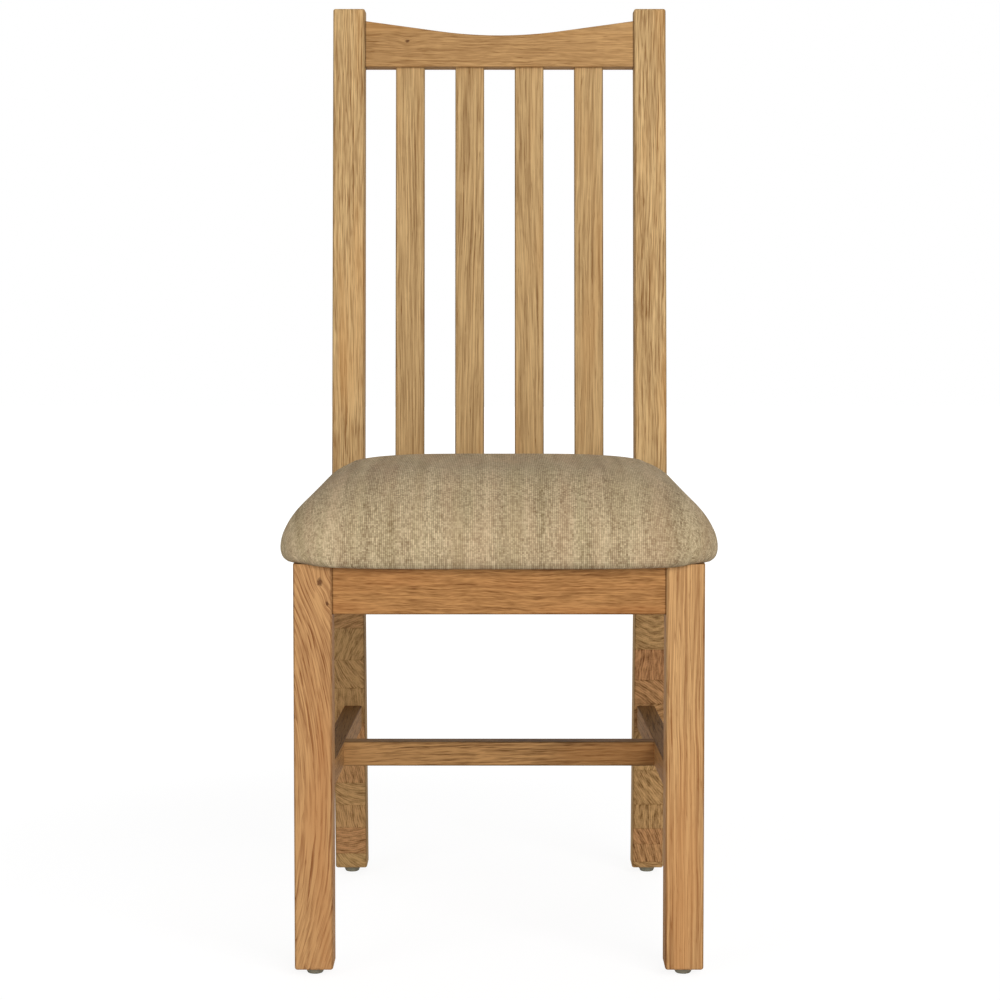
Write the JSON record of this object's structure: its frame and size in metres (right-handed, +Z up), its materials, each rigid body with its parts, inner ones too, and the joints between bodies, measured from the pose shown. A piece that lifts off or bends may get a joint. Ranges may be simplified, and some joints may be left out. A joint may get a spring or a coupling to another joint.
{
  "type": "dining chair",
  "caption": "Oak dining chair with upright back slats between posts, a dipped top rail, a crowned fabric seat pad and low stretchers.",
  "frame": {"origin": "on the floor under the middle of the chair's overall box", "axes": "+Z up, the sitter faces -Y, +X to the right seen from the front"},
  "size_m": [0.4392, 0.487, 1.013],
  "materials": {
    "oak": "clear satin lacquer on solid oak",
    "block_wood": "sawn hardwood, unfinished",
    "plywood": "plain plywood",
    "foam": "open-cell upholstery foam",
    "wadding": "soft fibre wadding",
    "linen_weave": "oatmeal linen-look weave with slubs",
    "black_cloth": "thin non-woven cloth",
    "screw_steel": "zinc-plated steel",
    "staple_wire": "galvanised wire",
    "glide_plastic": "grey moulded plastic"
  },
  "bodies": {
    "root": {"back_slat_1": "oak", "back_slat_2": "oak", "back_slat_3": "oak", "back_slat_4": "oak", "corner_block_front_left": "block_wood", "corner_block_front_right": "block_wood", "corner_block_rear_left": "block_wood", "corner_block_rear_right": "block_wood", "corner_block_screws": "screw_steel", "cover_staples": "staple_wire", "cross_stretcher": "oak", "dust_cover": "black_cloth", "front_leg_left": "oak", "front_leg_right": "oak", "front_rail": "oak", "glide_front_left": "glide_plastic", "glide_front_right": "glide_plastic", "glide_nails": "screw_steel", "glide_rear_left": "glide_plastic", "glide_rear_right": "glide_plastic", "rear_leg_left": "oak", "rear_leg_right": "oak", "rear_rail": "oak", "seat_batten": "block_wood", "seat_board": "plywood", "seat_cover": "linen_weave", "seat_foam": "foam", "seat_screws": "screw_steel", "seat_wadding": "wadding", "side_rail_left": "oak", "side_rail_right": "oak", "side_stretcher_left": "oak", "side_stretcher_right": "oak", "top_rail": "oak"}
  },
  "joints": []
}
